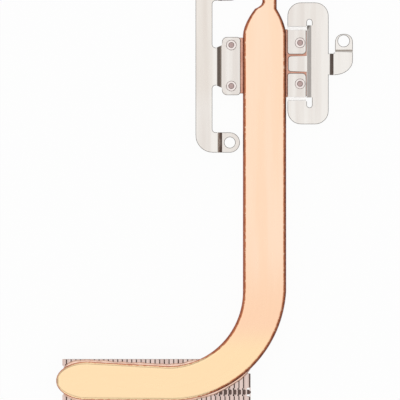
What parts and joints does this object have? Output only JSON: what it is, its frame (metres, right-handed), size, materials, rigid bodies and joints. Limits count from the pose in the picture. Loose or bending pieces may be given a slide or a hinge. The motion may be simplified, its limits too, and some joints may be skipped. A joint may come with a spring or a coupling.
{
  "type": "laptop heatsink",
  "caption": "Flat bent heat pipe on a copper base plate with two riveted spring brackets and a stack of interlocked cooling fins.",
  "frame": {"origin": "on the base plate's contact face, below the middle of the heat pipe", "axes": "+Z away from the processor, +Y along the heat pipe towards its sealed neck, -X along the fin stack"},
  "size_m": [0.0782, 0.1107, 0.008],
  "materials": {
    "pipe_copper": "satin",
    "wick_copper": "matte",
    "plate_copper": "satin",
    "spring_steel": "satin",
    "rivet_metal": "satin",
    "fin_metal": "satin"
  },
  "bodies": {
    "root": {"heat_pipe": "pipe_copper", "pipe_wick": "wick_copper", "base_plate": "plate_copper", "left_bracket": "spring_steel", "right_bracket": "spring_steel", "rivet_left_upper": "rivet_metal", "rivet_left_lower": "rivet_metal", "rivet_right_upper": "rivet_metal", "rivet_right_lower": "rivet_metal", "fin_01": "fin_metal", "fin_02": "fin_metal", "fin_03": "fin_metal", "fin_04": "fin_metal", "fin_05": "fin_metal", "fin_06": "fin_metal", "fin_07": "fin_metal", "fin_08": "fin_metal", "fin_09": "fin_metal", "fin_10": "fin_metal", "fin_11": "fin_metal", "fin_12": "fin_metal", "fin_13": "fin_metal", "fin_14": "fin_metal", "fin_15": "fin_metal", "fin_16": "fin_metal", "fin_17": "fin_metal", "fin_18": "fin_metal", "fin_19": "fin_metal", "fin_20": "fin_metal", "fin_21": "fin_metal", "fin_22": "fin_metal", "fin_23": "fin_metal", "fin_24": "fin_metal", "fin_25": "fin_metal", "fin_26": "fin_metal", "fin_27": "fin_metal", "fin_28": "fin_metal", "fin_29": "fin_metal", "fin_30": "fin_metal", "fin_31": "fin_metal", "fin_32": "fin_metal", "fin_33": "fin_metal", "fin_34": "fin_metal", "fin_35": "fin_metal", "fin_36": "fin_metal", "fin_37": "fin_metal", "fin_38": "fin_metal", "fin_39": "fin_metal", "fin_40": "fin_metal"}
  },
  "joints": []
}
